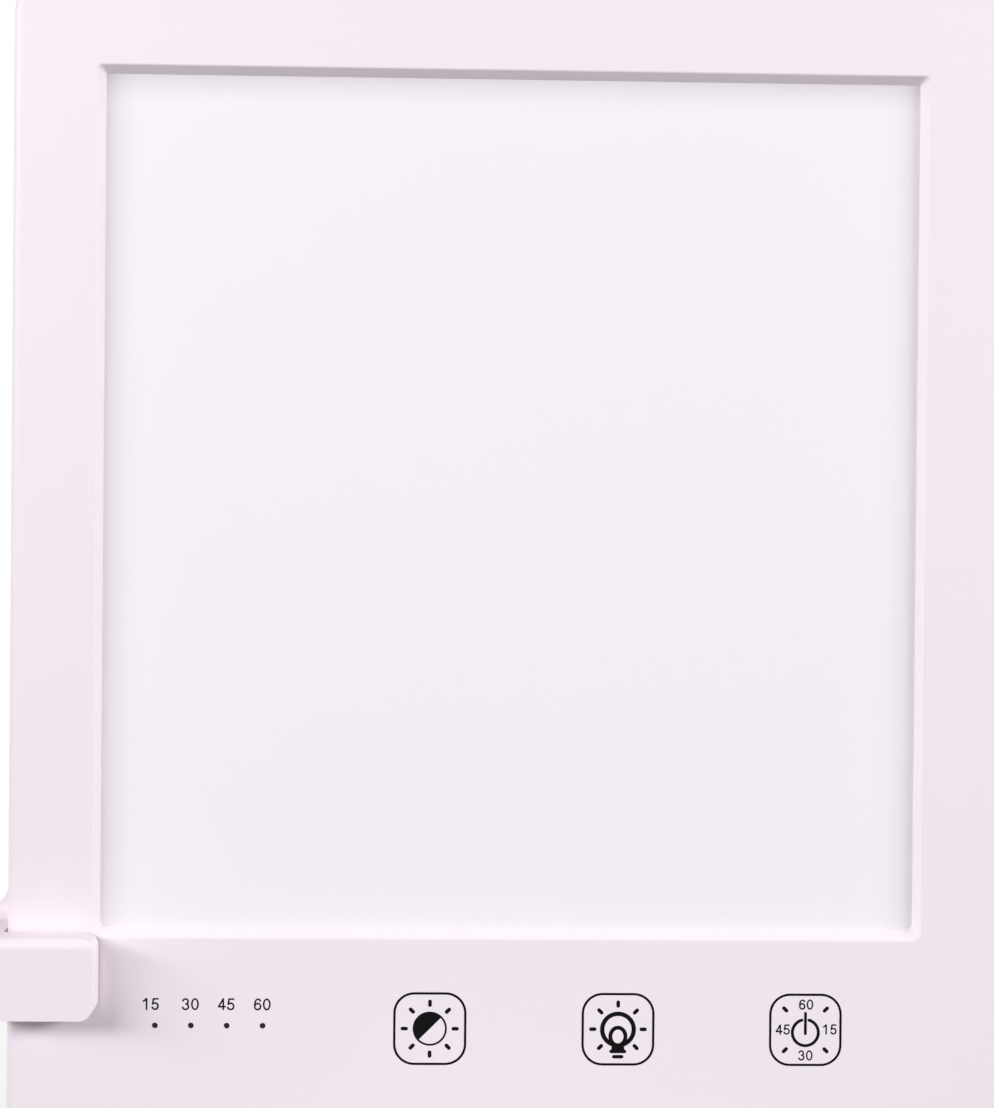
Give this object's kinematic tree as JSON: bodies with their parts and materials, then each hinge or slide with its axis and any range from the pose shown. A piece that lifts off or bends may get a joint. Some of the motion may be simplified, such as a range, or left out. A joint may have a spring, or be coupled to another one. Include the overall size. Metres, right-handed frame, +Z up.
{
  "type": "light therapy lamp",
  "caption": "Flat white light therapy panel with touch keys and timer lights, gripped at one edge by a jaw bracket, on a folding swing arm that turns on a weighted round base.",
  "frame": {"origin": "middle of the base's underside, level with the sole of the foot pad, on the swivel axis", "axes": "+Z up along the swivel axis; the light window and the keys face -Y; +X to the right as seen from the front"},
  "size_m": [0.2073, 0.17, 0.2995],
  "materials": {
    "housing_plastic": "fine satin moulded ABS, white with a faint warm pink cast",
    "opal_diffuser": "opal acrylic sheet with a fine matt face",
    "clear_acrylic": "clear acrylic with a printed dot pattern",
    "reflector_film": "white polyester reflector film",
    "spreader_aluminium": "mill-finish sheet",
    "strip_board": "white solder mask",
    "diode_package": "yellow phosphor in a white package",
    "circuit_board": "green solder mask on glass laminate",
    "component_black": "moulded black epoxy",
    "cable_grey": "grey flat cable",
    "jack_black": "moulded black nylon",
    "key_ink": "pad-printed black epoxy ink, on the touch keys and timer figures",
    "smoke_pipe": "smoked clear polycarbonate",
    "spring_steel": "plated spring steel",
    "screw_steel": "zinc-plated steel",
    "insert_brass": "knurled brass",
    "liner_rubber": "soft moulded rubber",
    "foot_rubber": "foamed rubber sheet",
    "bearing_plastic": "natural acetal",
    "ballast_steel": "black-primed steel disc",
    "bottom_steel": "powder-coated steel sheet"
  },
  "bodies": {
    "base": {"base_shell": "housing_plastic", "swivel_sleeve": "bearing_plastic", "thrust_ring": "bearing_plastic", "ballast_disc": "ballast_steel", "bottom_plate": "bottom_steel", "base_screws": "screw_steel", "foot_pad": "foot_rubber"},
    "turret": {"turret": "housing_plastic", "arm_pin": "screw_steel", "arm_nut": "screw_steel", "arm_caps": "housing_plastic", "spindle": "screw_steel", "spindle_nut": "screw_steel", "spring_washer": "spring_steel"},
    "arm": {"arm_body": "housing_plastic", "arm_cover": "housing_plastic", "arm_cover_screws": "screw_steel", "arm_bushes": "bearing_plastic"},
    "head": {"front_bezel": "housing_plastic", "rear_cover": "housing_plastic", "diffuser": "opal_diffuser", "light_guide": "clear_acrylic", "reflector_sheet": "reflector_film", "heat_spreader": "spreader_aluminium", "led_strip_left": "strip_board", "led_strip_right": "strip_board", "led_chips": "diode_package", "touch_board": "circuit_board", "touch_springs": "spring_steel", "timer_leds": "diode_package", "timer_light_pipe": "smoke_pipe", "driver_board": "circuit_board", "driver_parts": "component_black", "ribbon_cable": "cable_grey", "dc_jack": "jack_black", "housing_screws": "screw_steel", "board_screws": "screw_steel", "edge_bracket": "housing_plastic", "jaw_liner": "liner_rubber", "bracket_inserts": "insert_brass", "bracket_screws": "screw_steel", "tilt_pin": "screw_steel", "tilt_nut": "screw_steel", "tilt_caps": "housing_plastic"}
  },
  "joints": [
    {"name": "base_swivel", "type": "hinge", "parent": "base", "child": "turret", "pos_m": [0, 0, 0.02], "axis": [0, 0, 1], "range_deg": [-90, 90]},
    {"name": "arm_tilt", "type": "hinge", "parent": "turret", "child": "arm", "pos_m": [0, 0, 0.042], "axis": [-1, 0, 0], "range_deg": [-20, 40]},
    {"name": "head_tilt", "type": "hinge", "parent": "arm", "child": "head", "pos_m": [0, 0, 0.122], "axis": [-1, 0, 0], "range_deg": [-10, 70]}
  ]
}
